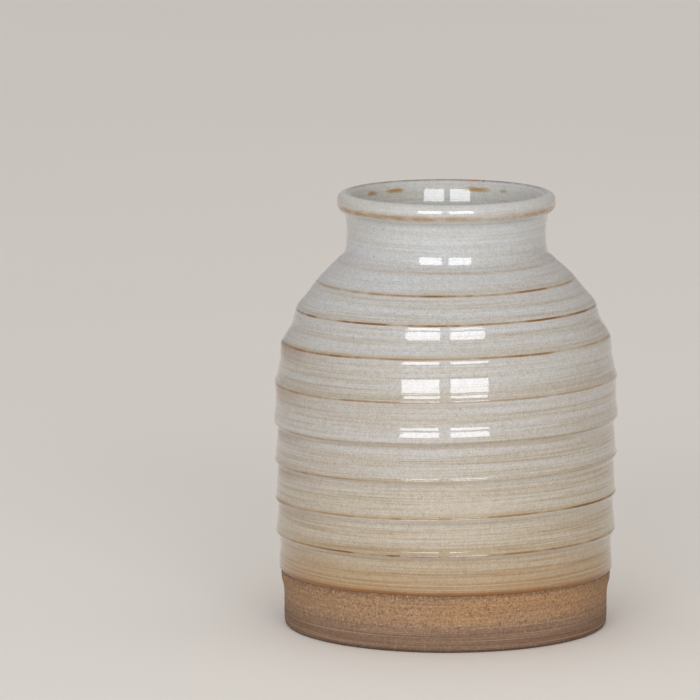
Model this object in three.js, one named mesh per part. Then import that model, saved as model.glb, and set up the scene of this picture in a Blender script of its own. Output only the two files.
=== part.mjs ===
// A free-standing stoneware vase, thrown on a wheel: a ridged jar-shaped body, a short straight
// collar and a rolled rim. It is one fired clay body with two coats of glaze fused to it.
//
// Units are millimetres and +Z is up. The origin is the centre of the foot, on the table.
// Every piece is a solid of revolution about Z, so each outline is a list of (radius, height).

import * as THREE from 'three';

// ---------------------------------------------------------------- driving dimensions

const HEIGHT = 280;
const SEGMENTS = 40;

const GLAZE = 0.9;            // thickness of a glaze coat
const GAP = 0.3;              // space kept between two bodies that lie against each other

// Throwing ridges, from the foot up. Each has a crest, a ledge just under it where the wall
// steps in, and a swell: how late the wall above the crest leans out to meet it (1 is straight).
const RIDGES = [
  { z: 62.5, crest: 109.7, ledge: 107.4, swell: 2.0 },
  { z: 85.0, crest: 109.9, ledge: 107.9, swell: 2.2 },
  { z: 110.0, crest: 110.4, ledge: 108.4, swell: 1.8 },
  { z: 134.5, crest: 111.0, ledge: 108.4, swell: 2.4 },
  { z: 160.5, crest: 110.7, ledge: 109.8, swell: 1.7 },
  { z: 186.0, crest: 105.2, ledge: 105.6, swell: 1.3 },
  { z: 206.5, crest: 96.5, ledge: 97.4, swell: 0.85 },
  { z: 225.0, crest: 81.8, ledge: 84.4, swell: 1.0 },
  { z: 238.0, crest: 68.9, ledge: 72.0, swell: 1.8 },
];
const LEDGE_DROP = 3.5;       // from a crest down to its ledge
const SWELL_STEPS = 2;        // straight facets from a ledge to the crest below it

// Glazed wall under the lowest ridge: a rolled lower edge at the glaze line, then a waist.
const GLAZE_LINE_Z = 38.0;
const GLAZE_LINE_R = 107.5;
const GLAZE_EDGE_ROUND = 0.2;
const GLAZED_FOOT = [
  { r: GLAZE_LINE_R, z: 40.5 },
  { r: 106.7, z: 49.0 },
];

// Collar: a short straight neck between the shoulder and the rim.
const COLLAR = [
  { r: 65.2, z: 243.0 },
  { r: 64.0, z: 250.0 },
  { r: 64.6, z: 261.5 },
];

// Rim: a bead of round section, with a softer inner lip that turns down into the mouth.
const BEAD_R = 6.3;
const BEAD_CENTRE_R = 64.1;
const BEAD_START = -62;       // degrees from level, where the bead leaves the collar
const BEAD_STEPS = 7;
const LIP_Z = 275.0;
const LIP_STEPS = 3;
const MOUTH_R = 60.0;

// Foot: a bare clay band under the glaze line, and a turned ring under the floor.
const FOOT_R = 102.2;
const FOOT_CHAMFER = 1.6;
const FOOT_RING_WIDTH = 15.0;
const RECESS_DEPTH = 2.0;
const RECESS_SLOPE = 3.0;
const FOOT_BAND = [
  { r: 104.2, z: 8.0 },
  { r: 104.3, z: 22.0 },
  { r: 106.0, z: 31.0 },
];

// Inside: a throat that draws in under the lip, a smooth shoulder and wall, and a rounded corner
// at the floor.
const INSIDE_WALL = [
  { r: 58.7, z: 268.0 },
  { r: 57.2, z: 253.0 },
  { r: 57.8, z: 245.0 },
  { r: 61.5, z: 236.0 },
  { r: 75.0, z: 222.0 },
  { r: 89.5, z: 203.0 },
  { r: 97.5, z: 184.0 },
  { r: 102.0, z: 158.0 },
  { r: 102.0, z: 72.0 },
];
const INSIDE_FOOT_R = 97.0;
const FLOOR_Z = 11.0;
const FLOOR_CORNER_R = 16.0;
const FLOOR_CORNER_STEPS = 4;

// ---------------------------------------------------------------- outline helpers

const point = (r, z) => new THREE.Vector2(r, z);

// A list of { r, z } as points, moved away from the axis by offset.
const points = (list, offset) => list.map(({ r, z }) => point(r + offset, z));

// Points along an ellipse about (r, z), between two angles in degrees.
function arc(r, z, across, up, fromDegrees, toDegrees, steps) {
  const along = [];
  for (let i = 0; i <= steps; i += 1) {
    const degrees = THREE.MathUtils.lerp(fromDegrees, toDegrees, i / steps);
    const angle = THREE.MathUtils.degToRad(degrees);
    along.push(point(r + across * Math.cos(angle), z + up * Math.sin(angle)));
  }
  return along;
}

// The wall from one ridge's crest up to the ledge of the ridge above, as { r, z }.
function swell(ridge, above) {
  const wall = [];
  for (let i = 0; i <= SWELL_STEPS; i += 1) {
    const t = 1 - i / SWELL_STEPS;
    const r = above.ledge + (ridge.crest - above.ledge) * t ** ridge.swell;
    const z = THREE.MathUtils.lerp(above.z - LEDGE_DROP, ridge.z, t);
    wall.push({ r, z });
  }
  return wall;
}

// The outside of the glazed pot, from above the glaze line, over the rim and down to the
// inner lip, moved in towards the clay by inset.
function outsideOutline(inset) {
  const lowest = RIDGES[0];
  const highest = RIDGES[RIDGES.length - 1];
  const wall = [...GLAZED_FOOT, { r: lowest.ledge, z: lowest.z - LEDGE_DROP }];
  for (let i = 0; i < RIDGES.length - 1; i += 1) {
    wall.push(...swell(RIDGES[i], RIDGES[i + 1]));
  }
  wall.push({ r: highest.crest, z: highest.z }, ...COLLAR);

  const bead = arc(
    BEAD_CENTRE_R, HEIGHT - BEAD_R,
    BEAD_R - inset, BEAD_R - inset,
    BEAD_START, 90, BEAD_STEPS,
  );
  const lip = arc(
    BEAD_CENTRE_R, LIP_Z,
    BEAD_CENTRE_R - MOUTH_R - inset, HEIGHT - LIP_Z - inset,
    90, 180, LIP_STEPS,
  );
  return [...points(wall, -inset), ...bead, ...lip.slice(1)];
}

// The inside of the glazed pot, from under the lip down to the centre of the floor, moved out
// towards the clay by inset.
function insideOutline(inset) {
  const corner = arc(
    INSIDE_FOOT_R - FLOOR_CORNER_R, FLOOR_Z + FLOOR_CORNER_R,
    FLOOR_CORNER_R + inset, FLOOR_CORNER_R + inset,
    0, -90, FLOOR_CORNER_STEPS,
  );
  return [...points(INSIDE_WALL, inset), ...corner, point(0, FLOOR_Z - inset)];
}

// ---------------------------------------------------------------- pieces

function turned(name, outline, color, roughness) {
  const material = new THREE.MeshStandardMaterial({ color, roughness, metalness: 0 });
  const mesh = new THREE.Mesh(new THREE.LatheGeometry(outline, SEGMENTS), material);
  mesh.name = name;
  mesh.rotation.x = Math.PI / 2;
  return mesh;
}

// The clay: recessed underside, foot ring, bare band, wall, collar, rim and the inside.
function clayBody() {
  const inset = GLAZE + GAP;
  const ringInside = FOOT_R - FOOT_RING_WIDTH;
  const outline = [
    point(0, RECESS_DEPTH),
    point(ringInside - RECESS_SLOPE, RECESS_DEPTH),
    point(ringInside, 0),
    point(FOOT_R, 0),
    point(FOOT_R + FOOT_CHAMFER, FOOT_CHAMFER),
    ...points(FOOT_BAND, 0),
    point(GLAZE_LINE_R - inset, GLAZE_LINE_Z - GAP),
    ...outsideOutline(inset),
    ...insideOutline(inset),
  ];
  return turned('clay_body', outline, 0x8a7160, 0.9);
}

// The outside coat, from its rolled lower edge over the rim to the inner lip.
function outerGlaze() {
  const surface = [
    point(GLAZE_LINE_R - GLAZE_EDGE_ROUND, GLAZE_LINE_Z),
    ...outsideOutline(0),
  ];
  const back = [
    point(GLAZE_LINE_R - GLAZE, GLAZE_LINE_Z),
    ...outsideOutline(GLAZE),
  ];
  const outline = [...surface, ...back.reverse(), surface[0].clone()];
  return turned('outer_glaze', outline, 0xc6c1b4, 0.18);
}

// The inside coat, which takes over just under the lip and closes over the floor.
function linerGlaze() {
  const topZ = LIP_Z - GAP;
  const surface = [point(MOUTH_R, topZ), ...insideOutline(0)];
  const back = [point(MOUTH_R + GLAZE, topZ), ...insideOutline(GLAZE)];
  return turned('liner_glaze', [...back.reverse(), ...surface], 0xc0c0b9, 0.16);
}

const vase = new THREE.Group();
vase.add(clayBody(), outerGlaze(), linerGlaze());

export default vase;
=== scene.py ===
import math

import bpy
import numpy as np
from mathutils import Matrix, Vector


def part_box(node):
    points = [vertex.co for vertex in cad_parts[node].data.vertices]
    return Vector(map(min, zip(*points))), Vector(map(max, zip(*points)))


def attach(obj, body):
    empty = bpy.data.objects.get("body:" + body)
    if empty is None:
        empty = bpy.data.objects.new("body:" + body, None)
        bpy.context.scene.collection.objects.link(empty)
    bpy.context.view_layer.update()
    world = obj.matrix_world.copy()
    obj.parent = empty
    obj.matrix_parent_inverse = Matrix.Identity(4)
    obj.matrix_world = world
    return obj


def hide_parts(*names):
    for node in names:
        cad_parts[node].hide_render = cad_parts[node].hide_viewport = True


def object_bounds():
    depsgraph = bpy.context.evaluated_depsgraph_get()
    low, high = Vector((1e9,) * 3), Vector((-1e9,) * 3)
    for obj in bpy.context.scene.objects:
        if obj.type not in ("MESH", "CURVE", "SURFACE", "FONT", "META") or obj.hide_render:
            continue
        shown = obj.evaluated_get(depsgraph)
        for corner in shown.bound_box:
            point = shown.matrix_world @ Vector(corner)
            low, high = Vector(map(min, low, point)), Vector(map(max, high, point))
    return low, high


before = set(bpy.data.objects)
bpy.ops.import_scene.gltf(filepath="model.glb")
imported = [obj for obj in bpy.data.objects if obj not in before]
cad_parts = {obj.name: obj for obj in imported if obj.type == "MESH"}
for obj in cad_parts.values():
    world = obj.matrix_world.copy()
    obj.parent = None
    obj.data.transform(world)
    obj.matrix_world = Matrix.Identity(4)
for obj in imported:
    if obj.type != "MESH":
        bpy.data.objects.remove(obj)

# A wheel-thrown stoneware vase: a bare clay foot, a ridged glazed wall, a short collar and a
# rolled rim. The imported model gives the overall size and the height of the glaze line. The
# numbers below add what it leaves out: the soft swell of each throwing ridge, how unevenly the
# ridges run round the pot, and the glaze. They are millimetres on a pot 280 mm tall. An azimuth
# is in degrees round the pot from the front (-Y), positive towards the right (+X).

CAD_LOW, CAD_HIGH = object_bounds()
POT_HEIGHT = 280.0
MM = (CAD_HIGH.z - CAD_LOW.z) / POT_HEIGHT

SEGMENTS = 208                # steps round the pot
GLAZE = 0.9                   # thickness of a glaze coat
GAP = 0.3                     # space between a coat and the clay behind it
GLAZE_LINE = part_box("outer_glaze")[0].z / MM
FLOOR_TOP = 11.0
FOOT_RING_WIDTH = 15.0
RECESS_DEPTH = 2.0
RECESS_SLOPE = 3.0

# ---------------------------------------------------------------- the outside wall

# Throwing ridges from the foot up, each as (height, radius) at three places: where the wall
# steps in under it, on its crest, and where its upper side runs out into the wall above.
RIDGES = [
    ((59.0, 107.4), (62.3, 109.75), (63.2, 109.55)),
    ((80.8, 108.05), (85.2, 109.95), (86.0, 109.5)),
    ((106.0, 108.4), (110.3, 110.45), (111.1, 109.98)),
    ((130.5, 108.45), (134.8, 111.0), (138.0, 110.75)),
    ((156.5, 109.75), (160.4, 110.45), (161.6, 110.0)),
    ((185.2, 106.3), (187.6, 105.1), (197.0, 99.5)),
    ((203.5, 97.65), (206.8, 96.8), (216.0, 89.7)),
    ((222.5, 84.6), (225.4, 82.3), (229.5, 78.3)),
    ((235.5, 71.9), (238.2, 69.1), (240.4, 66.5)),
]

# The rest of the wall, as (height, radius): from the glaze line to the lowest ridge, between the
# ridges, and the collar.
WALL = [
    (39.4, 107.5), (41.0, 107.5), (43.0, 107.4), (46.0, 107.25), (49.0, 106.98), (52.0, 106.85),
    (56.0, 107.1), (88.0, 109.38), (112.4, 109.87), (122.5, 109.0), (146.3, 109.75), (149.0, 109.65),
    (163.2, 109.36), (164.9, 108.92), (166.0, 108.65), (170.0, 107.85), (174.1, 107.02),
    (175.3, 106.9), (178.6, 106.72), (199.0, 98.7), (201.0, 98.22),
    (241.7, 65.55), (243.9, 64.95), (246.1, 64.57), (250.0, 64.25), (254.0, 64.0), (260.0, 64.3),
    (264.6, 65.0), (266.8, 65.7),
]

# Shallow turned lines in the wall, as (height, depth).
SCORES = [(141.4, 0.14), (165.4, 0.2), (204.6, 0.2)]
SCORE_HALF = 0.5

# Rows of the surfaces that lie hidden behind the wall, besides those at the ridges.
HIDDEN_HEIGHTS = [39.6, 50.0, 72.5, 95.0, 143.6, 147.6, 164.4, 168.6, 174.1, 178.6, 244.0, 250.0,
                  258.0, 266.8]

WALL_START = 39.6             # the wall's first and last height, between the rolled edges
WALL_END = 266.4
ROLL_CENTRE = (106.5, 38.1)   # (radius, height) of the rolled lower edge of the glaze
ROLL_R = 1.1
ROLL_START = -95.0            # degrees round the roll from level
ROLL_WAVE = 0.35              # how far the glaze's lower edge runs up and down
ROLL_WAVE_HEIGHTS = (38.0, 42.0)
BEAD_CENTRE = (64.1, 273.7)   # the rolled rim
BEAD_R = 6.3
BEAD_START = -68.0
BEAD_POWER = 2.7              # above 2 the rim's upper outside is squarer than round
LIP_CENTRE = (64.1, 275.6)    # the inner lip: a sixth of an oval, then a slope to the throat
LIP_ACROSS, LIP_UP = 3.9, 4.4
LIP_END = 150.0
LIP_SLOPE = [(60.1, 276.4), (59.74, 275.5), (59.5, 274.9)]
COAT_TUCK = [(59.38, 274.4), (59.31, 273.8), (59.45, 273.2)]     # the coat's end, behind the liner
COAT_BACK_START = (106.55, 38.6)             # the foot of its back, behind the rolled edge

# Steps between the wall's rows. They are closer by a turned line, round each crest and low down.
SCORE_STEP, RIDGE_STEP, PLAIN_STEP = 0.25, 0.4, 0.95
UNDER_SCORE, OVER_SCORE = 1.2, 0.8
UNDER_CREST, OVER_CREST = 4.6, 1.6
CLOSE_BELOW = 48.0
ROLL_STEPS, RIM_STEPS, HIDDEN_RIM_STEPS = 9, 14, 4

# From each crest down to the line where the glaze has broken. Below 0 the line is over the crest.
LINE_DROPS = (-0.3, -0.6, 1.0, 1.0, 0.0, 0.5, -0.7, 0.8, 0.6)
LINE_REACH = 5.0              # how far from a line its marks can spread
LINE_FADE = 1.2
GROOVE_DEPTHS = (0.1, 0.1, 0.1, 0.1, 0.15, 0.08, 0.1, 0.24, 0.1)
GROOVE_HALF = 0.45

# How the ridges run round the pot: they rise to the right and to the front, and settle level
# towards the foot and the collar. The weights go with the heights.
RISE_RIGHT = 2.2
RISE_FRONT = 1.6
RISE_HEIGHTS = (42.0, 80.0, 186.0, 225.0, 245.0)
RISE_WEIGHTS = (0.0, 1.0, 1.0, 0.5, 0.0)
RIM_RISE = 1.0                # how much higher the rim stands at the front
RIM_RISE_HEIGHTS = (262.0, 279.0)
WOBBLE = 0.3                  # how far each ridge strays up and down by itself
WOBBLE_HALF = 9.0
OVAL = 0.25                   # how far the pot is out of round
OVAL_TURN = 0.7
OVAL_HEIGHTS = (0.0, 60.0, 240.0, 262.0)
OVAL_WEIGHTS = (0.3, 1.0, 0.5, 0.3)
HOLLOW = 0.35                 # how much the step under a crest deepens and fills round the pot
HOLLOW_HALF = 2.6
RIPPLE = 0.018                # throwing lines
RIPPLE_LENGTHS = (2.3, 3.7, 5.9, 9.1)
RIPPLE_HEIGHTS = (39.0, 48.0, 232.0, 244.0, 268.0)
RIPPLE_WEIGHTS = (0.0, 1.0, 1.0, 0.12, 0.1)
WOBBLE_SEED, HOLLOW_SEED, RIPPLE_SEED, ROLL_SEED = 20, 40, 60, 91

# ---------------------------------------------------------------- the inside and the foot

# The inside wall as (radius, height), from the lip to the top of the floor's corner.
INSIDE = [
    (60.1, 276.4), (59.5, 274.9), (59.28, 274.2), (58.65, 271.2), (58.12, 268.0), (57.45, 262.0),
    (57.2, 254.0), (57.8, 245.0), (61.5, 236.0), (75.0, 222.0), (89.5, 203.0), (97.5, 184.0),
    (102.0, 158.0), (102.0, 72.0), (97.0, 27.0),
]
INSIDE_TOP = 274.2            # height under the lip where its rows begin
CORNER_R = 16.0
LINER_LIP = [(60.45, 276.2), (59.93, 275.5), (59.57, 274.9)]     # rows behind the outer coat
LINER_TOP = (60.9, 276.0)
LINER_ROWS, HIDDEN_ROWS = 132, 24
CORNER_ROWS = 8               # rows of the floor's corner that unwrap with the wall
FLOOR_RIPPLE = 0.12           # rings that fingers leave on the floor, and where they end
FLOOR_RIPPLE_LENGTH = 2.4
FLOOR_RIPPLE_END = 84.0

# The rounded edges of the foot ring, as (radius, height) from its inner and its outer edge.
RING_INSIDE = [(-1.6, 0.9), (-0.5, 0.2), (0.6, 0.0)]
RING_OUTSIDE = [(0.5, 0.25), (1.1, 0.8), (1.5, 1.3)]
# Lines that turning has left in the foot band: (depth, radians in a millimetre, phase).
TURNING = [(0.05, 2.9, 0.0), (0.035, 5.3, 1.0), (0.06, 0.9, 0.0)]
TURNING_END = 36.0

# The bare clay band as (height, radius), from the chamfer to under the glaze.
FOOT_R = 102.2
FOOT_CHAMFER = 1.6
FOOT_BAND = [
    (FOOT_CHAMFER, 103.8), (4.0, 104.1), (8.0, 104.2), (15.0, 104.15), (22.0, 104.3), (31.0, 106.0),
    (36.0, 106.3), (GLAZE_LINE - GAP, 106.3),
]

# ---------------------------------------------------------------- the glaze round the pot

STATIONS = (-105, -55, -25, 0, 25, 55, 105, 180)    # azimuths of the strengths below

# How far the glaze has broken to brown on each ridge, from the foot up.
LINE_STRENGTH = [
    (0.6, 0.7, 1.0, 0.9, 0.7, 0.85, 0.6, 0.8),
    (0.7, 0.45, 0.6, 0.6, 0.65, 0.9, 0.6, 0.6),
    (0.7, 0.8, 0.4, 0.3, 0.3, 0.4, 0.6, 0.6),
    (0.7, 0.6, 0.3, 0.3, 0.35, 0.5, 0.5, 0.6),
    (0.7, 0.75, 0.65, 0.4, 0.55, 0.45, 0.4, 0.6),
    (0.6, 0.85, 0.75, 0.4, 0.9, 0.5, 0.6, 0.9),
    (0.9, 0.9, 1.0, 1.0, 1.0, 0.95, 0.8, 0.7),
    (0.6, 0.5, 0.8, 0.85, 0.8, 0.8, 0.6, 0.7),
    (0.3, 0.2, 0.3, 0.3, 0.3, 0.4, 0.3, 0.2),
]
# Amber haze in the glaze just over each line.
HAZE_STRENGTH = [
    (0.3, 0.2, 0.3, 0.3, 0.3, 0.5, 0.4, 0.3),
    (0.7, 0.7, 1.1, 1.1, 0.9, 0.7, 0.6, 0.7),
    (0.3, 0.4, 0.3, 0.2, 0.2, 0.3, 0.4, 0.3),
    (0.2, 0.3, 0.2, 0.1, 0.3, 0.6, 0.3, 0.2),
    (0.3, 0.4, 0.3, 0.2, 0.3, 0.4, 0.3, 0.3),
    (0.5, 0.7, 0.9, 0.5, 0.6, 0.5, 0.4, 0.6),
    (0.2, 0.2, 0.2, 0.3, 0.3, 0.3, 0.3, 0.2),
    (0.3, 0.3, 0.5, 0.6, 0.5, 0.6, 0.4, 0.4),
    (0.1, 0.1, 0.1, 0.1, 0.1, 0.2, 0.1, 0.1),
]
PAINTED_LIMB_SHADE = (-88.0, 27.0)    # painted warm reflection and shade under the crests on the left: azimuth, half width
PAINTED_LIMB_SHADE_REACH = (-12.0, -3.5, 0.2, 0.7)         # and where it starts, is full and ends, from a line
PAINTED_LIMB_SHADE_RIDGES = (1, 2, 3, 4, 5)
COLLAR_START = 243.0          # above this there are no ridge lines
RIM_START = 266.0
LIP_START = 270.0
# Amber on the rolled rim, where the glaze ran thin.
RIM_STATIONS = (-100, -75, -50, -25, 0, 20, 35, 50, 75, 110, 180)
RIM_AMBER = (0.6, 0.95, 0.95, 0.85, 0.75, 0.6, 0.7, 0.85, 0.8, 0.5, 0.7)
RIM_ANGLE = -17.0             # degrees round the bead from level
RIM_SPREAD = 19.0
CREST_STATIONS = (-150, -110, -70, 0, 70, 110, 150, 180)
# The crest's brown is partly broken glaze and, stronger towards the back, partly painted shade along the
# far edge of the rim.
CREST_LINE_AND_PAINTED_SHADE = (1.0, 0.95, 0.4, 0.3, 0.4, 0.9, 1.0, 0.85)     # brown along the rim's crest
CREST_ANGLE = 95.0
CREST_SPREAD = 15.0
CREST_PATCH = (163.5, 6.5)    # an orange patch on the crest: azimuth, half width
CREST_SPOT = (156.5, 62.6, 279.7, 0.85)      # a black iron spot: azimuth, radius, height, half size
# Amber breaks on the inner lip, as (azimuth, half width, strength).
LIP_BREAKS = [(233, 5, 1.0), (213, 6.5, 1.1), (160.5, 9, 1.1), (140, 5, 0.6), (187, 5, 0.4),
              (60, 8, 0.8), (20, 5, 0.7), (-40, 9, 0.9)]
LIP_BREAK_HEIGHT = 274.4
LIP_BREAK_HALF = 1.5

# Glaze colour by height, as seen in even light (red, green, blue out of 255). It is partly painted
# light: the warmer colours towards the foot hold painted warm bounce light from below, and the
# lighter, bluer colours on the rim hold a painted bluish reflection.
GLAZE_AND_PAINTED_LIGHT_COLOURS = [
    (36.0, (152, 102, 50)), (38.4, (164, 124, 80)), (40.0, (172, 138, 98)), (47.0, (181, 154, 118)),
    (58.0, (190, 172, 146)), (76.0, (195, 183, 164)), (94.0, (198, 188, 172)), (118.0, (198, 191, 180)),
    (142.0, (199, 193, 185)), (172.0, (199, 195, 188)), (202.0, (200, 198, 194)), (226.0, (200, 200, 198)),
    (250.0, (205, 207, 208)), (266.0, (205, 207, 207)), (280.0, (211, 212, 211)),
]
STREAK_HEIGHTS = (38.0, 46.0, 60.0, 90.0, 150.0, 175.0, 228.0, 245.0, 266.0, 280.0)
STREAK_WEIGHTS = (0.5, 1.1, 1.1, 0.82, 0.72, 0.62, 0.6, 0.4, 0.38, 0.35)

# Streaks: (cycles in a metre round the pot, in a millimetre of height, share of the whole).
STREAK_SCALES = [(5, 0.24, 0.33), (10, 0.80, 0.35), (18, 1.25, 0.32)]
PLAIN_GLAZE = (198, 195, 188)
# What the plain glaze turns to in the streaks and the fine mottle, by the noise's value.
STREAK_HUES = [
    (0.39, (206, 210, 212)), (0.455, (202, 202, 200)), (0.50, PLAIN_GLAZE), (0.545, (192, 185, 172)),
    (0.61, (178, 168, 150)),
]
MOTTLE_HUES = [(0.39, (181, 179, 174)), (0.5, PLAIN_GLAZE), (0.61, (209, 207, 201))]

# Marks on the glaze.
PALE_GLAZE = (208, 207, 208)
HAZE_AMBER = (176, 151, 100)
# Painted warm reflection and shade under the crests on the left.
PAINTED_LIMB_SHADE_BROWN = (146, 104, 64)
LINE_RUST = [(0.25, (176, 146, 100)), (0.6, (156, 118, 66)), (0.95, (132, 90, 42))]
EDGE_BEADS = [(41.2, 0.6, 0.6), (43.9, 0.5, 1.0), (46.6, 0.4, 0.5)]    # (height, half, strength)
BEAD_CREAM = (208, 194, 166)
EDGE_RUST = (144, 92, 38)
RIM_BROWN = (164, 128, 78)
CREST_BROWN = (104, 82, 62)
CREST_ORANGE = (170, 92, 46)
SPOT_BLACK = (38, 32, 28)
LIP_OCHRE = (182, 164, 122)
LIP_AMBER = (180, 137, 84)
SMALL_IRON = (140, 125, 103)
LARGE_IRON = (110, 90, 66)

LINER_COLOURS = [
    (9.0, (180, 175, 162)), (30.0, (192, 188, 178)), (200.0, (206, 204, 196)),
    (276.0, (211, 211, 206)),
]

# Bare clay colour by height. The dark colours at the very bottom are painted shade along the chamfer.
CLAY_AND_PAINTED_SHADE_COLOURS = [
    (0.0, (80, 58, 42)), (1.8, (106, 81, 63)), (3.0, (134, 106, 85)), (8.0, (140, 111, 91)),
    (11.0, (134, 106, 87)), (16.0, (158, 129, 106)), (22.0, (174, 142, 112)), (30.0, (170, 137, 106)),
    (34.5, (154, 122, 95)), (37.7, (134, 103, 78)),
]
FLUSH_STATIONS = (-90, -40, -10, 25, 50, 90, 180)
FLUSH = (0.25, 0.2, 0.75, 1.0, 0.75, 0.4, 0.6)
CLAY_FLUSH = (194, 148, 102)
LIGHT_SAND, DARK_SAND = (216, 180, 138), (104, 76, 56)
LIGHT_SCRATCH, DARK_SCRATCH = (186, 160, 138), (98, 74, 58)
TURNED_SHADE = (116, 88, 68)
CLAY_PIT = (74, 54, 42)

EVEN_LIGHT = 1.15             # brightness of a white wall in the scene's light
BASE_LIMIT = 0.95             # the lightest base colour that is used


# ---------------------------------------------------------------- curves and noise

def smooth_curve(knots, x):
    """A smooth curve through the knots (x, y) that never overshoots them."""
    xs, ys = (np.array(column, float) for column in zip(*knots))
    step = np.diff(xs)
    slope = np.diff(ys) / step
    tangent = np.concatenate(([slope[0]], np.zeros(len(slope) - 1), [slope[-1]]))
    for k in range(1, len(slope)):
        if slope[k - 1] * slope[k] > 0:
            near, far = 2 * step[k] + step[k - 1], step[k] + 2 * step[k - 1]
            tangent[k] = (near + far) / (near / slope[k - 1] + far / slope[k])
    k = np.clip(np.searchsorted(xs, x) - 1, 0, len(step) - 1)
    t, h = (x - xs[k]) / step[k], step[k]
    start = (1 + 2 * t) * (1 - t) ** 2 * ys[k] + t * (1 - t) ** 2 * h * tangent[k]
    end = t * t * (3 - 2 * t) * ys[k + 1] - t * t * (1 - t) * h * tangent[k + 1]
    return start + end


def around(stations, values, azimuth):
    """Values given at some azimuths, and straight between them all round the pot."""
    return np.interp(azimuth, stations, values, period=360)


def bump(x, centre, half):
    return np.exp(-(((x - centre) / half) ** 2))


def waves(azimuth, seed, turns=5):
    """A gentle uneven wave round the pot, between about -1 and 1."""
    random = np.random.RandomState(seed)
    total = np.zeros_like(azimuth)
    for n in range(1, turns + 1):
        total += np.sin(np.radians(azimuth) * n + random.uniform(0, 2 * math.pi)) / n ** 0.5
    return total / 2.2


def outside_radius(height):
    """The radius of the glazed wall before it is made uneven."""
    knots = sorted(WALL + [place for ridge in RIDGES for place in ridge])
    return smooth_curve(knots, height)


def arc(centre, across, up, start, end, steps, power=2.0):
    """Points (radius, height) along an oval, between two angles in degrees. A power above 2
    makes the oval squarer."""
    places = []
    for a in np.radians(np.linspace(start, end, steps + 1)):
        swell = (abs(math.cos(a)) ** power + abs(math.sin(a)) ** power) ** (-1 / power)
        places.append((centre[0] + across * swell * math.cos(a), centre[1] + up * swell * math.sin(a)))
    return places


# ---------------------------------------------------------------- how the pot is uneven

def lift(azimuth, height):
    """How far the throwing ridges run above or below level."""
    weight = np.interp(height, RISE_HEIGHTS, RISE_WEIGHTS)
    turn = np.radians(azimuth)
    rise = RISE_RIGHT * np.sin(turn) + RISE_FRONT * np.cos(turn)
    wobble = np.zeros_like(rise)
    for k, (_, crest, _) in enumerate(RIDGES):
        wobble += WOBBLE * waves(azimuth, WOBBLE_SEED + k) * bump(height, crest[0], WOBBLE_HALF)
    rim = RIM_RISE * (1 + np.cos(turn)) / 2 * np.interp(height, RIM_RISE_HEIGHTS, (0, 1))
    edge = ROLL_WAVE * waves(azimuth, ROLL_SEED, 9) * np.interp(height, ROLL_WAVE_HEIGHTS, (1, 0))
    return weight * (rise + wobble) + rim + edge


def push(azimuth, height):
    """How far the outside wall stands in or out from its even shape."""
    turn = np.radians(azimuth)
    out = OVAL * np.cos(2 * turn + OVAL_TURN) * np.interp(height, OVAL_HEIGHTS, OVAL_WEIGHTS)
    for k, (ledge, crest, _) in enumerate(RIDGES):
        out -= HOLLOW * waves(azimuth, HOLLOW_SEED + k, 3) * bump(height, ledge[0], HOLLOW_HALF)
        out -= GROOVE_DEPTHS[k] * bump(height, crest[0] - LINE_DROPS[k], GROOVE_HALF)
    for centre, depth in SCORES:
        out -= depth * bump(height, centre, SCORE_HALF)
    return out + RIPPLE * np.interp(height, RIPPLE_HEIGHTS, RIPPLE_WEIGHTS) * ripple(azimuth, height)


def ripple(azimuth, height):
    """The throwing lines, as a sum of waves up the wall that drift and swell."""
    total = np.zeros_like(height)
    for k, length in enumerate(RIPPLE_LENGTHS):
        phase = 2 * math.pi * height / length + 1.5 * waves(azimuth, RIPPLE_SEED + k, 3)
        total += np.sin(phase) * (0.6 + 0.4 * np.sin(height / (length * 4.3) + k))
    return total


# ---------------------------------------------------------------- meshes

def turned(name, outline, uneven, patches, attributes, material):
    """Turns an outline of (radius, height) round the axis into one closed mesh.

    The outline either joins its own start or runs from the axis to the axis. Rows flagged in
    uneven follow the ridges. Patches are as in unwrap."""
    radius, height = np.array(outline, float).T
    azimuth = np.arange(SEGMENTS) * 360.0 / SEGMENTS - 180.0
    flagged = np.array(uneven, bool)[:, None]
    azimuths, heights = np.meshgrid(azimuth, height)
    radii = radius[:, None] + np.where(flagged, push(azimuths, heights), 0)
    levels = heights + np.where(flagged, lift(azimuths, heights), 0)
    turn = np.radians(azimuths)
    points = np.stack([radii * np.sin(turn), -radii * np.cos(turn), levels], axis=2) * MM

    poles = radius < 1e-6
    first = np.concatenate(([0], np.cumsum(np.where(poles, 1, SEGMENTS))))
    vertices = np.concatenate([points[i, :1] if poles[i] else points[i] for i in range(len(radius))])

    def vertex(i, j):
        return first[i] + (0 if poles[i] else j % SEGMENTS)

    closed = not poles[0]
    pairs = [(i, i + 1) for i in range(len(radius) - 1)] + ([(len(radius) - 1, 0)] if closed else [])
    placed = unwrap(radius, height, patches, len(pairs))
    faces, uvs = [], []
    for k, pair in enumerate(pairs):
        corners = [(0, 0), (0, 1), (1, 1), (1, 0)]       # steps up the outline and along the row
        if poles[pair[0]]:
            corners = [corners[0], corners[2], corners[3]]
        elif poles[pair[1]]:
            corners = corners[:3]
        for j in range(SEGMENTS):
            faces.append([vertex(pair[up], j + along) for up, along in corners])
            uvs += [placed(k, up, j + along) for up, along in corners]

    mesh = bpy.data.meshes.new(name)
    mesh.from_pydata(vertices.tolist(), [], faces)
    mesh.polygons.foreach_set("use_smooth", [True] * len(faces))
    layer = mesh.uv_layers.new(name="OFBake")
    layer.data.foreach_set("uv", np.array(uvs, np.float32).ravel())
    for key, grid in attributes(azimuths, heights, radii).items():
        values = np.concatenate([grid[i, :1] if poles[i] else grid[i] for i in range(len(radius))])
        added = mesh.attributes.new(key, "FLOAT", "POINT")
        added.data.foreach_set("value", values.astype(np.float32))
    mesh.materials.append(material)
    mesh.update()
    piece = bpy.data.objects.new(name, mesh)
    bpy.context.scene.collection.objects.link(piece)
    return piece


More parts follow.
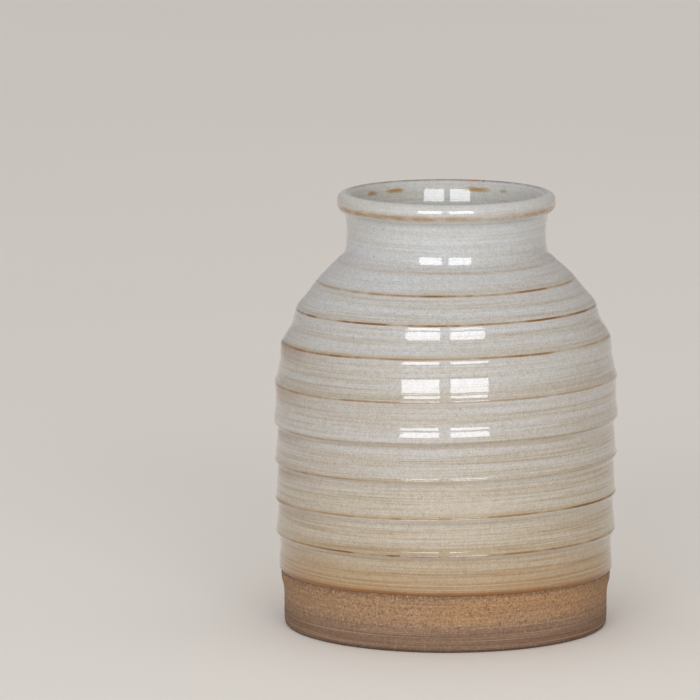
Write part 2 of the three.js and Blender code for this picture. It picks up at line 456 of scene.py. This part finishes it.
def unwrap(radius, height, patches, count):
    """Where a face corner goes on the UV square. A patch is (first row, last row, low, high) for
    a strip across the square, or (first row, last row, (u, v), size) for a disc."""
    length = np.concatenate(([0], np.cumsum(np.hypot(np.diff(radius), np.diff(height)))))
    owner = np.zeros(count, int)
    for k, patch in enumerate(patches):
        owner[patch[0]:patch[1]] = k

    def place(row, up, along):
        first, last, low, high = patches[owner[row]]
        i = (row + up) % len(radius)
        if isinstance(low, tuple):
            turn = 2 * math.pi * along / SEGMENTS
            spread = high * radius[i] / radius[first:last + 1].max()
            return low[0] + spread * math.sin(turn), low[1] + spread * math.cos(turn)
        end = min(last, len(radius) - 1)
        share = (length[i] - length[first]) / (length[end] - length[first])
        if row + up >= len(radius):
            share = 1.0
        return along / SEGMENTS, low + (high - low) * min(max(share, 0.0), 1.0)

    return place


def wall_heights():
    """Heights of the outside wall's rows: close together round each ridge, wider between."""
    heights = [WALL_START]
    while heights[-1] < WALL_END:
        z = heights[-1]
        ridged = any(crest[0] - UNDER_CREST < z < crest[0] + OVER_CREST for _, crest, _ in RIDGES)
        step = RIDGE_STEP if ridged or z < CLOSE_BELOW else PLAIN_STEP
        if any(centre - UNDER_SCORE < z < centre + OVER_SCORE for centre, _ in SCORES):
            step = SCORE_STEP
        heights.append(z + step)
    return np.array(heights[:-1])


def outer_outline(inset, fine):
    """The glazed outside from over its rolled lower edge, over the rim, to the inner lip."""
    if fine:
        heights = wall_heights()
    else:
        ridge_heights = [place[0] for ridge in RIDGES for place in ridge]
        heights = np.array(sorted(HIDDEN_HEIGHTS + ridge_heights))
    wall = [(r - inset, z) for r, z in zip(outside_radius(heights), heights)]
    steps = RIM_STEPS if fine else HIDDEN_RIM_STEPS
    under = arc(BEAD_CENTRE, BEAD_R - inset, BEAD_R - inset, BEAD_START, 0, steps)
    over = arc(BEAD_CENTRE, BEAD_R - inset, BEAD_R - inset, 0, 90, steps, BEAD_POWER)
    lip = arc(LIP_CENTRE, LIP_ACROSS - inset, LIP_UP - inset, 90, LIP_END, steps)
    slope = [(r + inset, z) for r, z in LIP_SLOPE]
    return wall + under + over[1:] + lip[1:] + slope


def inner_outline(outset, rows):
    """The inside wall and floor, from under the lip to the axis."""
    centre = (INSIDE[-1][0] - CORNER_R, FLOOR_TOP + CORNER_R)
    heights = np.linspace(INSIDE_TOP, centre[1], rows)
    radii = smooth_curve([(z, r) for r, z in reversed(INSIDE)], heights)
    wall = [(r + outset, z) for r, z in zip(radii, heights)]
    corner = arc(centre, CORNER_R + outset, CORNER_R + outset, 0, -90, max(4, rows // 12))
    floor_radii = np.linspace(centre[0], 0, max(3, rows // 4))
    return wall + corner[1:] + [(r, FLOOR_TOP - outset) for r in floor_radii[1:]]


def glaze_attributes(azimuths, heights, radii):
    """What the outer glaze's material reads: where it is, and how it has run and broken."""
    line_heights = np.array([crest[0] - drop for (_, crest, _), drop in zip(RIDGES, LINE_DROPS)])
    nearest = np.abs(heights[:, :, None] - line_heights).argmin(axis=2)
    offset = heights - line_heights[nearest]
    below_collar = heights < COLLAR_START
    near = np.clip((LINE_REACH - np.abs(offset)) / LINE_FADE, 0, 1) * below_collar
    lines, haze = np.zeros_like(heights), np.zeros_like(heights)
    for k in range(len(RIDGES)):
        mine = nearest == k
        lines = np.where(mine, around(STATIONS, LINE_STRENGTH[k], azimuths), lines)
        haze = np.where(mine, around(STATIONS, HAZE_STRENGTH[k], azimuths), haze)
    # Painted warm reflection and shade under the crests on the left, near the lines.
    painted_shade = bump(turn_from(azimuths, PAINTED_LIMB_SHADE[0]), 0, PAINTED_LIMB_SHADE[1]) * np.isin(nearest, PAINTED_LIMB_SHADE_RIDGES)
    painted_shade = painted_shade * np.interp(offset, PAINTED_LIMB_SHADE_REACH, (0, 1, 1, 0))
    angle = np.degrees(np.arctan2(heights - BEAD_CENTRE[1], radii - BEAD_CENTRE[0]))
    on_bead = heights > RIM_START
    on_lip = (heights > LIP_START) & (radii < LIP_CENTRE[0])
    rim = around(RIM_STATIONS, RIM_AMBER, azimuths) * bump(angle, RIM_ANGLE, RIM_SPREAD)
    crest = around(CREST_STATIONS, CREST_LINE_AND_PAINTED_SHADE, azimuths) * bump(angle, CREST_ANGLE, CREST_SPREAD)
    patch = bump(turn_from(azimuths, CREST_PATCH[0]), 0, CREST_PATCH[1])
    return {
        "height": heights,
        "line_offset": offset,
        "line_strength": lines * near,
        "haze_strength": haze * near,
        "painted_limb_shade": painted_shade * below_collar,
        "streaks": np.interp(heights, STREAK_HEIGHTS, STREAK_WEIGHTS),
        "amber": np.where(on_bead, rim, 0),
        "crest": np.where(on_bead, crest, 0),
        "crest_patch": np.where(on_bead, patch * bump(angle, CREST_ANGLE, CREST_SPREAD), 0),
        "breaks": lip_breaks(azimuths, heights) * on_lip,
    }


def turn_from(azimuth, centre):
    """Degrees round the pot from centre, between -180 and 180."""
    return (azimuth - centre + 180) % 360 - 180


def lip_breaks(azimuths, heights):
    """Where the glaze has broken to amber just inside the mouth."""
    total = np.zeros_like(heights)
    for centre, half, strength in LIP_BREAKS:
        total += strength * bump(turn_from(azimuths, centre), 0, half)
    return total * bump(heights, LIP_BREAK_HEIGHT, LIP_BREAK_HALF)


def outer_glaze(material):
    """The outside coat, from its rolled lower edge over the rim to the inner lip."""
    roll = arc(ROLL_CENTRE, ROLL_R, ROLL_R, ROLL_START, 0, ROLL_STEPS)
    front = roll + outer_outline(0, True) + COAT_TUCK
    back = [COAT_BACK_START] + outer_outline(GLAZE, False)
    outline = front + back[::-1]
    patches = [(0, len(front), 0.06, 1.0), (len(front), len(outline), 0.0, 0.05)]
    uneven = [True] * len(outline)
    return turned("outer_glaze_coat", outline, uneven, patches, glaze_attributes, material)


def liner_attributes(azimuths, heights, radii):
    return {"height": heights, "breaks": lip_breaks(azimuths, heights)}


def liner_glaze(material):
    """The inside coat, from behind the lip down over the floor."""
    surface = LINER_LIP + inner_outline(0, LINER_ROWS)
    surface = [(r, z + floor_ripple(r, z)) for r, z in surface]
    back = inner_outline(GLAZE, HIDDEN_ROWS)
    outline = back[::-1] + [LINER_TOP] + surface
    start = len(back) + 1
    wall_end = start + len(LINER_LIP) + LINER_ROWS + CORNER_ROWS
    patches = [
        (0, start, 0.0, 0.02),
        (start, wall_end, 0.36, 1.0),
        (wall_end, len(outline) - 1, (0.18, 0.19), 0.16),
    ]
    uneven = [False] * len(outline)
    return turned("liner_glaze_coat", outline, uneven, patches, liner_attributes, material)


def floor_ripple(r, z):
    """How high the floor's rings stand. They fade towards the axis and the corner."""
    if z > FLOOR_TOP + 0.01 or r < 0.5:
        return 0.0
    fade = min(1.0, (FLOOR_RIPPLE_END - r) / 30) * min(1.0, r / 8)
    return FLOOR_RIPPLE * math.sin(r / FLOOR_RIPPLE_LENGTH) * fade


def clay_attributes(azimuths, heights, radii):
    return {"height": heights, "flush": around(FLUSH_STATIONS, FLUSH, azimuths)}


def clay_body(material):
    """The clay: recessed underside, foot ring, bare band, hidden wall and hidden inside."""
    inset = GLAZE + GAP
    ring_inside = FOOT_R - FOOT_RING_WIDTH
    recess = [(r, RECESS_DEPTH) for r in np.linspace(0, ring_inside - RECESS_SLOPE, 16)]
    slope = [(ring_inside + out, z) for out, z in RING_INSIDE]
    ring = [(r, 0.0) for r in np.linspace(ring_inside + 3, FOOT_R - 0.6, 6)]
    edge = [(FOOT_R + out, z) for out, z in RING_OUTSIDE]
    heights = np.linspace(FOOT_CHAMFER + 0.4, FOOT_BAND[-1][0], 74)
    band = [(r + turning(z), z) for r, z in zip(smooth_curve(FOOT_BAND, heights), heights)]
    wall = outer_outline(inset, False)
    outline = recess + slope + ring + edge + band + wall + inner_outline(inset, HIDDEN_ROWS)
    foot_end = len(recess + slope + ring)
    band_end = foot_end + len(edge + band)
    wall_end = band_end + len(wall)
    patches = [
        (0, foot_end, (0.25, 0.25), 0.24),
        (foot_end, band_end, 0.72, 1.0),
        (band_end, len(outline) - 1, 0.68, 0.71),
    ]
    uneven = [band_end <= i < wall_end for i in range(len(outline))]
    return turned("clay", outline, uneven, patches, clay_attributes, material)


def turning(height):
    """Fine lines that turning the foot has left in the clay."""
    fade = min(1.0, max(0.0, (TURNING_END - height) / 4))
    return fade * sum(depth * math.sin(height * rate + phase) for depth, rate, phase in TURNING)


# ---------------------------------------------------------------- material graphs

def linear(colour):
    """A colour out of 255 as linear light."""
    parts = [c / 255 for c in colour]
    return [c / 12.92 if c <= 0.04045 else ((c + 0.055) / 1.055) ** 2.4 for c in parts]


def paint(colour):
    """The base colour that looks like this one in the scene's even light."""
    return (*[min(BASE_LIMIT, c / EVEN_LIGHT) for c in linear(colour)], 1.0)


def tint(colour, over):
    """The factor that turns the colour over into this one."""
    return (*[a / b for a, b in zip(linear(colour), linear(over))], 1.0)


class Graph:
    """A material's node graph, with a short method for each kind of step."""

    def __init__(self, name):
        self.material = bpy.data.materials.new(name)
        self.material.use_nodes = True
        self.tree = self.material.node_tree
        self.tree.nodes.clear()
        self.shader = self.tree.nodes.new("ShaderNodeBsdfPrincipled")
        output = self.tree.nodes.new("ShaderNodeOutputMaterial")
        self.tree.links.new(self.shader.outputs["BSDF"], output.inputs["Surface"])
        self.place = self.tree.nodes.new("ShaderNodeTexCoord").outputs["Object"]
        split = self.tree.nodes.new("ShaderNodeSeparateXYZ")
        self.tree.links.new(self.place, split.inputs[0])
        self.x, self.y, _ = split.outputs

    def put(self, socket, value):
        if isinstance(value, bpy.types.NodeSocket):
            self.tree.links.new(value, socket)
        else:
            socket.default_value = value

    def attribute(self, name):
        node = self.tree.nodes.new("ShaderNodeAttribute")
        node.attribute_name = name
        return node.outputs["Fac"]

    def math(self, operation, a, b=0.0):
        node = self.tree.nodes.new("ShaderNodeMath")
        node.operation = operation
        self.put(node.inputs[0], a)
        self.put(node.inputs[1], b)
        return node.outputs[0]

    def times(self, first, *rest):
        for value in rest:
            first = self.math("MULTIPLY", first, value)
        return first

    def plus(self, first, *rest):
        for value in rest:
            first = self.math("ADD", first, value)
        return first

    def sway(self, noise, reach):
        """Noise from 0 to 1 as a shift either way, by up to half of reach."""
        return self.times(self.math("SUBTRACT", noise, 0.5), reach)

    def fade(self, value, start, end, low=0.0, high=1.0):
        """Goes smoothly from low to high as value goes from start to end."""
        node = self.tree.nodes.new("ShaderNodeMapRange")
        node.interpolation_type = "SMOOTHSTEP"
        self.put(node.inputs["Value"], value)
        if start > end:
            start, end, low, high = end, start, high, low
        for key, number in (("From Min", start), ("From Max", end), ("To Min", low), ("To Max", high)):
            node.inputs[key].default_value = number
        return node.outputs["Result"]

    def band(self, value, centre, half):
        """1 at the centre, and 0 from half away."""
        away = self.math("ABSOLUTE", self.math("SUBTRACT", value, centre))
        return self.fade(away, half, 0.0)

    def stretched(self, across, up, height):
        """Coordinates for noise: cycles per metre round the pot, and per millimetre of height."""
        node = self.tree.nodes.new("ShaderNodeCombineXYZ")
        self.put(node.inputs[0], self.times(self.x, across))
        self.put(node.inputs[1], self.times(self.y, across))
        self.put(node.inputs[2], self.times(height, up))
        return node.outputs[0]

    def noise(self, vector, scale=1.0, detail=2.0, roughness=0.5):
        node = self.tree.nodes.new("ShaderNodeTexNoise")
        self.put(node.inputs["Vector"], vector)
        node.inputs["Scale"].default_value = scale
        node.inputs["Detail"].default_value = detail
        node.inputs["Roughness"].default_value = roughness
        return node.outputs["Fac"]

    def specks(self, cell, radius, share):
        """Round specks, one in a share of the cells, as a mask. Sizes are millimetres."""
        node = self.tree.nodes.new("ShaderNodeTexVoronoi")
        self.put(node.inputs["Vector"], self.place)
        node.inputs["Scale"].default_value = 1 / (cell * MM)
        pick = self.tree.nodes.new("ShaderNodeSeparateXYZ")
        self.tree.links.new(node.outputs["Color"], pick.inputs[0])
        size = self.plus(self.times(pick.outputs[0], 0.5), 0.6)
        near = self.math("DIVIDE", node.outputs["Distance"], size)
        dot = self.fade(near, radius / cell, 0.45 * radius / cell)
        return self.times(dot, self.math("LESS_THAN", pick.outputs[1], share))

    def spot(self, azimuth, radius, height, half):
        """One round spot at a place on the pot, as a mask."""
        turn = math.radians(azimuth)
        node = self.tree.nodes.new("ShaderNodeVectorMath")
        node.operation = "DISTANCE"
        self.put(node.inputs[0], self.place)
        node.inputs[1].default_value = (
            radius * MM * math.sin(turn), -radius * MM * math.cos(turn), height * MM)
        return self.fade(node.outputs["Value"], half * MM, 0.6 * half * MM)

    def ramp(self, value, stops):
        node = self.tree.nodes.new("ShaderNodeValToRGB")
        self.put(node.inputs["Fac"], value)
        marks = node.color_ramp.elements
        while len(marks) < len(stops):
            marks.new(0.5)
        for mark, (position, _) in zip(marks, stops):
            mark.position = position
        for mark, (_, colour) in zip(marks, stops):
            mark.color = colour
        return node.outputs["Color"]

    def mix(self, amount, a, b, blend="MIX"):
        node = self.tree.nodes.new("ShaderNodeMix")
        node.data_type = "RGBA"
        node.blend_type = blend
        self.put(node.inputs[0], amount)
        self.put(node.inputs[6], a)
        self.put(node.inputs[7], b)
        return node.outputs[2]

    def relief(self, height, distance, under=None):
        """A normal tilted as if the surface stood out by height times distance in millimetres."""
        node = self.tree.nodes.new("ShaderNodeBump")
        node.inputs["Strength"].default_value = 1.0
        node.inputs["Distance"].default_value = distance * MM
        self.put(node.inputs["Height"], height)
        if under is not None:
            self.put(node.inputs["Normal"], under)
        return node.outputs["Normal"]

    def finish(self, colour, roughness, normal, **constants):
        self.put(self.shader.inputs["Base Color"], colour)
        self.put(self.shader.inputs["Roughness"], roughness)
        self.put(self.shader.inputs["Normal"], normal)
        for key, value in constants.items():
            self.shader.inputs[key.replace("_", " ")].default_value = value
        return self.material


def by_height(graph, height, colours):
    """A colour that follows the height of the pot."""
    low, high = colours[0][0], colours[-1][0]
    share = graph.math("DIVIDE", graph.math("SUBTRACT", height, low), high - low)
    return graph.ramp(share, [((z - low) / (high - low), paint(colour)) for z, colour in colours])


def streaked(graph, height, colour, strength):
    """Lays the glaze's thrown streaks over a colour: bluish where it pooled, ochre where thin."""
    streaks = []
    for across, up, share in STREAK_SCALES:
        streaks.append(graph.times(graph.noise(graph.stretched(across, up, height)), share))
    hues = graph.ramp(graph.plus(*streaks), [(at, tint(hue, PLAIN_GLAZE)) for at, hue in STREAK_HUES])
    colour = graph.mix(strength, colour, hues, "MULTIPLY")
    coarse = graph.noise(graph.place, 330, 3, 0.6)
    grain = graph.noise(graph.place, 1000, 2, 0.6)
    mottle = graph.plus(graph.times(coarse, 0.35), graph.times(grain, 0.65))
    spots = graph.ramp(mottle, [(at, tint(hue, PLAIN_GLAZE)) for at, hue in MOTTLE_HUES])
    return graph.mix(graph.fade(height, 232, 264, 0.8, 0.55), colour, spots, "MULTIPLY")


def iron_specks(graph, colour, strength=1.0):
    """Iron spots that have melted up through the glaze."""
    large = graph.times(graph.specks(2.7, 0.48, 0.5), 0.6 * strength)
    small = graph.times(graph.specks(1.2, 0.38, 0.7), 0.52 * strength)
    colour = graph.mix(small, colour, paint(SMALL_IRON))
    return graph.mix(large, colour, paint(LARGE_IRON))


def outer_glaze_material():
    graph = Graph("outer_glaze")
    height = graph.attribute("height")
    streaks = graph.attribute("streaks")
    patchy = graph.noise(graph.stretched(40, 0.02, height), detail=4, roughness=0.6)

    # The glaze's colour by height, with painted warm bounce light low down and a painted bluish reflection
    # on the rim.
    colour = by_height(graph, height, GLAZE_AND_PAINTED_LIGHT_COLOURS)
    colour = streaked(graph, height, colour, streaks)
    colour = ridge_marks(graph, height, colour, patchy)
    colour = edge_marks(graph, height, colour, patchy)
    colour = rim_marks(graph, height, colour)
    colour = lip_broken(graph, colour)
    colour = iron_specks(graph, colour)
    colour = graph.mix(graph.spot(*CREST_SPOT), colour, paint(SPOT_BLACK))

    threads = graph.noise(graph.stretched(10, 1.0, height), detail=3, roughness=0.6)
    normal = graph.relief(graph.times(threads, streaks), 0.03)
    pits = graph.specks(3.1, 0.35, 0.25)
    normal = graph.relief(graph.times(pits, -1.0), 0.03, normal)
    return glazed(graph, colour, threads, normal)


def ridge_marks(graph, height, colour, patchy):
    """Marks along each ridge: pale glaze under the line, amber haze over it, and the rusty line
    itself, all a little off level. Painted warm reflection and shade lie brown under the crests on the
    left."""
    lines = graph.attribute("line_strength")
    drift = graph.noise(graph.stretched(14, 0.02, height), detail=3)
    place = graph.plus(graph.attribute("line_offset"), graph.sway(drift, 0.9))

    pale = graph.times(graph.fade(place, -3.6, -1.6), graph.fade(place, -0.2, -0.9), lines, 0.3)
    colour = graph.mix(pale, colour, paint(PALE_GLAZE))

    haze = graph.times(graph.fade(place, 3.6, 0.3), graph.fade(place, -0.4, 0.1))
    haze = graph.times(haze, graph.attribute("haze_strength"))
    haze = graph.times(haze, graph.fade(patchy, 0.3, 0.6, 0.45, 1.0), 0.62)
    colour = graph.mix(haze, colour, paint(HAZE_AMBER))

    # Painted warm reflection and shade, brown under the crests on the left.
    painted_shade = graph.times(graph.attribute("painted_limb_shade"), graph.fade(patchy, 0.3, 0.6, 0.6, 0.95))
    colour = graph.mix(painted_shade, colour, paint(PAINTED_LIMB_SHADE_BROWN))

    line = graph.times(graph.fade(graph.math("ABSOLUTE", place), 1.0, 0.3), lines)
    line = graph.times(line, graph.fade(patchy, 0.32, 0.58, 0.45, 1.15))
    line = graph.math("MINIMUM", line, 0.97)
    rust = graph.ramp(line, [(at, paint(stop)) for at, stop in LINE_RUST])
    return graph.mix(line, colour, rust)


def edge_marks(graph, height, colour, patchy):
    """Cream rings just over the glaze's lower edge, and rust along the edge itself."""
    beads = []
    for centre, half, strength in EDGE_BEADS:
        beads.append(graph.times(graph.band(height, centre, half), strength))
    colour = graph.mix(graph.times(graph.plus(*beads), 0.55), colour, paint(BEAD_CREAM))
    ragged = graph.plus(height, graph.sway(patchy, 2.2))
    rust = graph.times(graph.fade(ragged, 39.7, 38.5), 0.9)
    return graph.mix(rust, colour, paint(EDGE_RUST))


def rim_marks(graph, height, colour):
    """Amber round the rolled rim, and along its crest brown with an orange patch."""
    blotch = graph.noise(graph.stretched(110, 0.35, height), detail=3, roughness=0.6)
    grain = graph.times(graph.noise(graph.place, 900), 0.5)
    broken = graph.fade(graph.plus(blotch, grain), 0.55, 0.95, 0.6, 1.12)
    amber = graph.math("MINIMUM", graph.times(graph.attribute("amber"), broken), 0.95)
    colour = graph.mix(amber, colour, paint(RIM_BROWN))
    # Brown along the crest: broken glaze, with painted shade making it stronger towards the back.
    crest = graph.times(graph.attribute("crest"), graph.fade(blotch, 0.3, 0.6, 0.6, 1.0), 0.95)
    colour = graph.mix(crest, colour, paint(CREST_BROWN))
    patch = graph.times(graph.attribute("crest_patch"), 0.95)
    return graph.mix(patch, colour, paint(CREST_ORANGE))


def lip_broken(graph, colour):
    """Amber dashes with ragged edges, where the breaks attribute is strong."""
    height = graph.attribute("height")
    ragged = graph.noise(graph.stretched(160, 0.5, height), detail=3, roughness=0.6)
    where = graph.plus(graph.attribute("breaks"), graph.sway(ragged, 0.9))
    colour = graph.mix(graph.fade(where, 0.2, 0.6, 0.0, 0.7), colour, paint(LIP_OCHRE))
    return graph.mix(graph.fade(where, 0.5, 0.95, 0.0, 0.85), colour, paint(LIP_AMBER))


def glazed(graph, colour, threads, normal):
    """The clear glassy surface that both coats have, over a body that threads make uneven."""
    return graph.finish(
        colour, graph.fade(threads, 0.3, 0.7, 0.38, 0.52), normal,
        Specular_IOR_Level=0.15, Coat_Weight=1.0, Coat_Roughness=0.03, Coat_IOR=1.5,
    )


def liner_material():
    graph = Graph("liner_glaze")
    height = graph.attribute("height")
    colour = by_height(graph, height, LINER_COLOURS)
    colour = streaked(graph, height, colour, 0.45)
    colour = lip_broken(graph, colour)
    colour = iron_specks(graph, colour, 0.8)
    threads = graph.noise(graph.stretched(8, 0.55, height), detail=3, roughness=0.6)
    return glazed(graph, colour, threads, graph.relief(threads, 0.12))


def clay_material():
    graph = Graph("bare_stoneware")
    height = graph.attribute("height")
    # Clay colour by height, with painted shade along the chamfer at the bottom.
    colour = by_height(graph, height, CLAY_AND_PAINTED_SHADE_COLOURS)
    colour = flushed(graph, height, colour)

    grain = graph.noise(graph.place, 1150, 2, 0.6)
    coarse = graph.noise(graph.place, 520, 2, 0.5)
    sand = graph.plus(graph.times(grain, 0.62), graph.times(coarse, 0.38))
    gritty = graph.fade(height, 10, 18, 0.35, 1.0)
    light = graph.times(graph.fade(sand, 0.50, 0.64), gritty, 0.72)
    dark = graph.times(graph.fade(sand, 0.48, 0.35), gritty, 0.78)
    colour = graph.mix(light, colour, paint(LIGHT_SAND))
    colour = graph.mix(dark, colour, paint(DARK_SAND))

    turned_lines = graph.noise(graph.stretched(7, 1.0, height), detail=3, roughness=0.6)
    shade = graph.fade(turned_lines, 0.3, 0.7, 0.0, 0.35)
    colour = graph.mix(shade, colour, paint(TURNED_SHADE))
    colour = scratched(graph, height, colour)
    colour = graph.mix(graph.times(graph.specks(3.4, 0.4, 0.5), 0.7), colour, paint(CLAY_PIT))

    normal = graph.relief(turned_lines, 0.35)
    normal = graph.relief(graph.times(sand, gritty), 0.32, normal)
    roughness = graph.fade(sand, 0.3, 0.7, 0.95, 0.78)
    return graph.finish(colour, roughness, normal, Specular_IOR_Level=0.35)


def flushed(graph, height, colour):
    """The orange flush under the glaze line, in blotches."""
    blotch = graph.noise(graph.stretched(22, 0.06, height), detail=3)
    zone = graph.times(graph.fade(height, 13, 22), graph.fade(height, 38, 32))
    blotches = graph.fade(blotch, 0.35, 0.65, 0.3, 1.0)
    warm = graph.times(graph.attribute("flush"), zone, blotches, 0.75)
    return graph.mix(warm, colour, paint(CLAY_FLUSH))


def scratched(graph, height, colour):
    """Light and dark scratches that turning has left low on the foot."""
    scratches = graph.noise(graph.stretched(9, 1.6, height), detail=3, roughness=0.55)
    low = graph.times(graph.fade(height, 20, 13), 0.5)
    light = graph.times(graph.fade(scratches, 0.52, 0.66), low)
    dark = graph.times(graph.fade(scratches, 0.46, 0.34), low)
    colour = graph.mix(light, colour, paint(LIGHT_SCRATCH))
    return graph.mix(dark, colour, paint(DARK_SCRATCH))


def floor_material():
    graph = Graph("studio_floor")
    colour = graph.ramp(graph.noise(graph.place, 0.8, 3), FLOOR_COLOURS)
    graph.put(graph.shader.inputs["Base Color"], colour)
    graph.shader.inputs["Roughness"].default_value = 0.75
    graph.shader.inputs["Specular IOR Level"].default_value = 0.2
    return graph.material


# ---------------------------------------------------------------- stage, light and camera

# Places and sizes here are in metres.
FLOOR_SIZE = 40.0             # far past the pot on every side
FLOOR_COLOURS = [(0.3, (0.885, 0.87, 0.845, 1.0)), (0.7, (0.91, 0.895, 0.87, 1.0))]
WINDOW_DISTANCE = 5.0
WINDOW_AZIMUTHS = (-18.5, 15.15)
WINDOW_SIZE = (2.3, 2.5)
WINDOW_HEIGHT = 1.67
WINDOW_LIGHT = 4.1            # radiance of a window
WINDOW_COLOUR = (1.0, 0.995, 0.985)
WINDOW_SHINE = 5.2            # radiance that reflections get besides, from a twin of the window
SHINE_COLOUR = (0.84, 0.9, 1.0)
SHINE_AHEAD = 0.03            # how far in front of the window its twin hangs
HORIZON = (0.43, 0.43, 0.43, 1.0)
ZENITH = (0.78, 0.78, 0.78, 1.0)
LEFT_SIDE = (0.84, 0.74, 0.66, 1.0)      # the room's tint to the left and right of the pot
RIGHT_SIDE = (0.70, 0.56, 0.43, 1.0)

CAMERA_PLACE = (-0.0618, -4.46, 0.895)
CAMERA_AIM = (-0.0618, 0.0, 0.1778)
LENS = 361.0                  # millimetres, as is the sensor
SENSOR = 36.0
CLIP_NEAR, CLIP_FAR = 0.05, 100.0


def floor():
    """A plain square floor under the pot."""
    mesh = bpy.data.meshes.new("floor")
    half, ground = FLOOR_SIZE / 2, CAD_LOW.z
    corners = [(-half, -half), (half, -half), (half, half), (-half, half)]
    mesh.from_pydata([(x, y, ground) for x, y in corners], [], [(0, 1, 2, 3)])
    mesh.materials.append(floor_material())
    plane = bpy.data.objects.new("floor", mesh)
    bpy.context.scene.collection.objects.link(plane)
    return plane


def window(name, azimuth, distance, radiance, colour):
    """A soft window that lights the pot from behind the camera."""
    light = bpy.data.lights.new(name, "AREA")
    light.shape = "RECTANGLE"
    light.size, light.size_y = WINDOW_SIZE
    light.color = colour
    light.energy = radiance * math.pi * WINDOW_SIZE[0] * WINDOW_SIZE[1]
    lamp = bpy.data.objects.new(name, light)
    turn = math.radians(azimuth)
    lamp.location = (distance * math.sin(turn), -distance * math.cos(turn), WINDOW_HEIGHT)
    lamp.rotation_euler = (math.pi / 2, 0, turn)
    lamp.visible_camera = False
    bpy.context.scene.collection.objects.link(lamp)
    return lamp


def lights():
    """Two windows, each with a twin that only reflections see."""
    for k, azimuth in enumerate(WINDOW_AZIMUTHS):
        window(f"window_{k + 1}", azimuth, WINDOW_DISTANCE, WINDOW_LIGHT, WINDOW_COLOUR)
        ahead = WINDOW_DISTANCE - SHINE_AHEAD
        shine = window(f"window_{k + 1}_shine", azimuth, ahead, WINDOW_SHINE, SHINE_COLOUR)
        shine.visible_diffuse = False


def room():
    """The pale room round the pot: lighter overhead, and tinted to the left and right."""
    world = bpy.data.worlds.new("studio")
    world.use_nodes = True
    nodes, links = world.node_tree.nodes, world.node_tree.links
    split = nodes.new("ShaderNodeSeparateXYZ")
    links.new(nodes.new("ShaderNodeTexCoord").outputs["Generated"], split.inputs[0])
    sky = nodes.new("ShaderNodeValToRGB")
    sky.color_ramp.elements[0].color = HORIZON
    sky.color_ramp.elements[1].color = ZENITH
    links.new(split.outputs["Z"], sky.inputs["Fac"])
    across = nodes.new("ShaderNodeMapRange")
    across.inputs["From Min"].default_value = -1.0
    links.new(split.outputs["X"], across.inputs["Value"])
    sides = nodes.new("ShaderNodeValToRGB")
    sides.color_ramp.elements[0].color = LEFT_SIDE
    sides.color_ramp.elements[1].color = RIGHT_SIDE
    sides.color_ramp.elements.new(0.5).color = (1.0, 1.0, 1.0, 1.0)
    links.new(across.outputs["Result"], sides.inputs["Fac"])
    tinted = nodes.new("ShaderNodeMix")
    tinted.data_type = "RGBA"
    tinted.blend_type = "MULTIPLY"
    tinted.inputs[0].default_value = 1.0
    links.new(sky.outputs["Color"], tinted.inputs[6])
    links.new(sides.outputs["Color"], tinted.inputs[7])
    links.new(tinted.outputs[2], nodes["Background"].inputs["Color"])
    bpy.context.scene.world = world


def camera():
    data = bpy.data.cameras.new("camera")
    data.sensor_width = SENSOR
    data.lens = LENS
    data.clip_start, data.clip_end = CLIP_NEAR, CLIP_FAR
    eye = bpy.data.objects.new("camera", data)
    eye.location = CAMERA_PLACE
    aim = Vector(CAMERA_AIM) - Vector(CAMERA_PLACE)
    eye.rotation_euler = aim.to_track_quat("-Z", "Y").to_euler()
    bpy.context.scene.collection.objects.link(eye)
    bpy.context.scene.camera = eye


camera()
lights()
room()
floor()

clay = clay_body(clay_material())
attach(clay, "root")
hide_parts("clay_body")

outer = outer_glaze(outer_glaze_material())
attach(outer, "root")
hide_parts("outer_glaze")

liner = liner_glaze(liner_material())
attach(liner, "root")
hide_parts("liner_glaze")

bpy.context.scene.view_settings.view_transform = "Standard"
